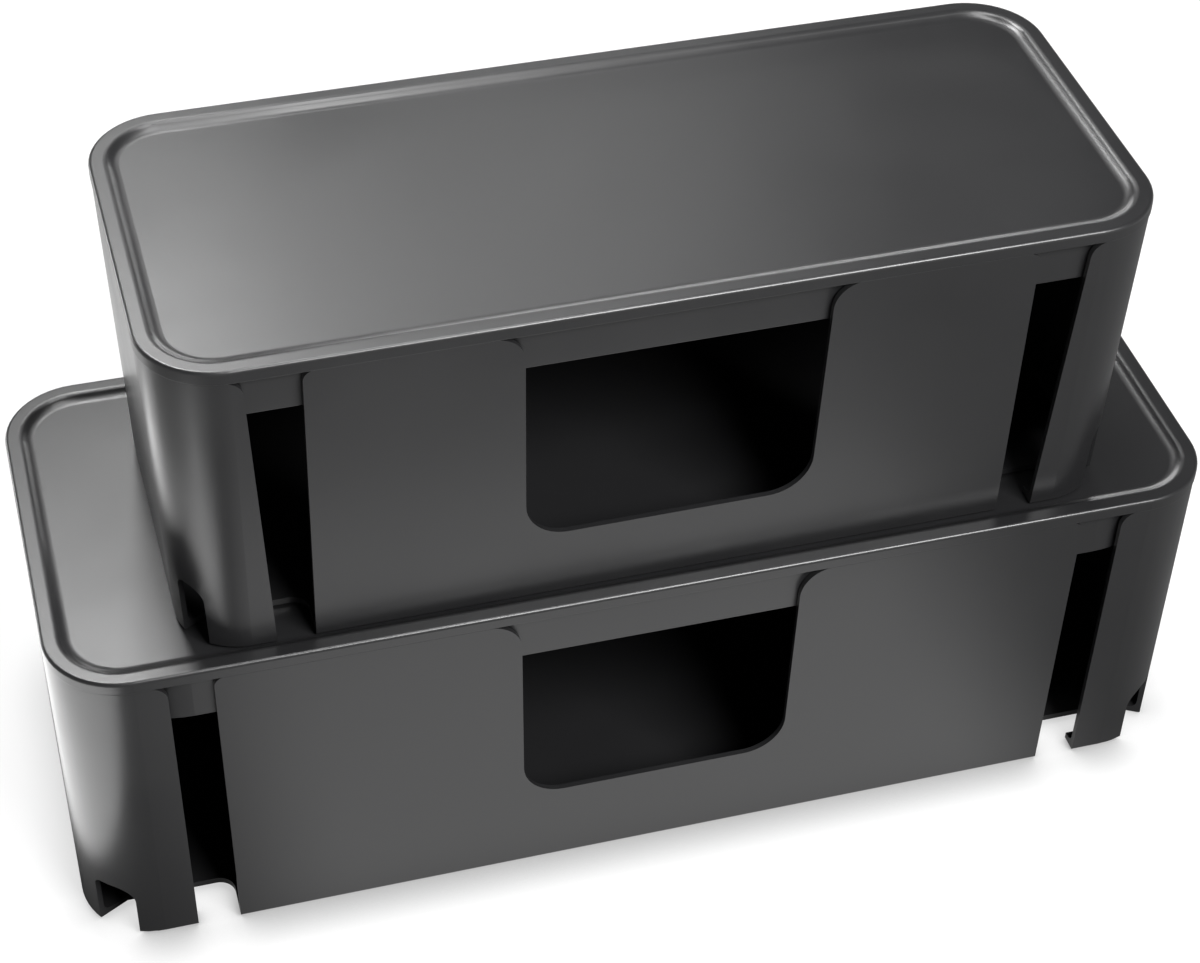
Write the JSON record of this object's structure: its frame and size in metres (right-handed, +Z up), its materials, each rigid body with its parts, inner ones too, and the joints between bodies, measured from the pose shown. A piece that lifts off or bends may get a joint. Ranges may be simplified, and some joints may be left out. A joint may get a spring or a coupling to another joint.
{
  "type": "cable management box set",
  "caption": "Two stacked cable management boxes, a small one on a large one, with lift-off tray lids, cable slots, a front window and rubber feet.",
  "frame": {"origin": "on the ground under the middle of the large box", "axes": "+X along the length, -Y towards the side with the slots and windows, +Z up"},
  "size_m": [0.415, 0.156, 0.249],
  "materials": {
    "moulded_abs": "charcoal black, fine satin mould texture",
    "foot_rubber": "black, matt"
  },
  "bodies": {
    "large_base": {"large_base": "moulded_abs", "large_foot_front_left": "foot_rubber", "large_foot_front_right": "foot_rubber", "large_foot_rear_left": "foot_rubber", "large_foot_rear_right": "foot_rubber"},
    "large_lid": {"large_lid": "moulded_abs"},
    "small_base": {"small_base": "moulded_abs", "small_foot_front_left": "foot_rubber", "small_foot_front_right": "foot_rubber", "small_foot_rear_left": "foot_rubber", "small_foot_rear_right": "foot_rubber"},
    "small_lid": {"small_lid": "moulded_abs"}
  },
  "joints": [
    {"name": "large_lid_lift", "type": "slide", "parent": "large_base", "child": "large_lid", "axis": [0, 0, 1], "range_m": [0, 0.04]},
    {"name": "small_box_lift", "type": "slide", "parent": "large_lid", "child": "small_base", "axis": [0, 0, 1], "range_m": [0, 0.04]},
    {"name": "small_lid_lift", "type": "slide", "parent": "small_base", "child": "small_lid", "axis": [0, 0, 1], "range_m": [0, 0.04]}
  ]
}
